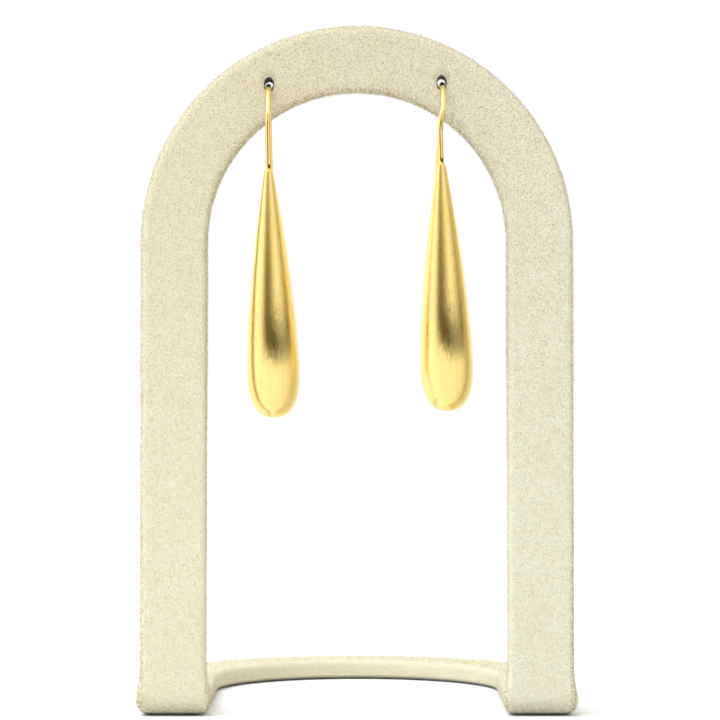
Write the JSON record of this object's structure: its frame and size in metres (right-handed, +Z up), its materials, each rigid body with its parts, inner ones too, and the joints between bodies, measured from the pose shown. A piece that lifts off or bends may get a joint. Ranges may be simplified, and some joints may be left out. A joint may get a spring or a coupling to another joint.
{
  "type": "pair of drop earrings on an arch display stand",
  "caption": "Long smooth teardrop earrings on round ear wires, hung through holes in a suede-covered arch stand whose base lies behind it.",
  "frame": {"origin": "on the plane that the stand rests on, under the middle of the whole set", "axes": "+Z up, +Y from the upright arch back over the lying arch, +X to the right as seen from the front"},
  "size_m": [0.0666, 0.0734, 0.1038],
  "materials": {
    "suede": "short-napped suede in pale sand, with a fine speckle",
    "satin_gold": "yellow gold, satin brushed along its length",
    "polished_gold": "yellow gold, polished"
  },
  "bodies": {
    "root": {"display_stand": "suede", "ear_wire_left": "polished_gold", "ear_wire_right": "polished_gold", "drop_left": "satin_gold", "drop_right": "satin_gold"}
  },
  "joints": []
}
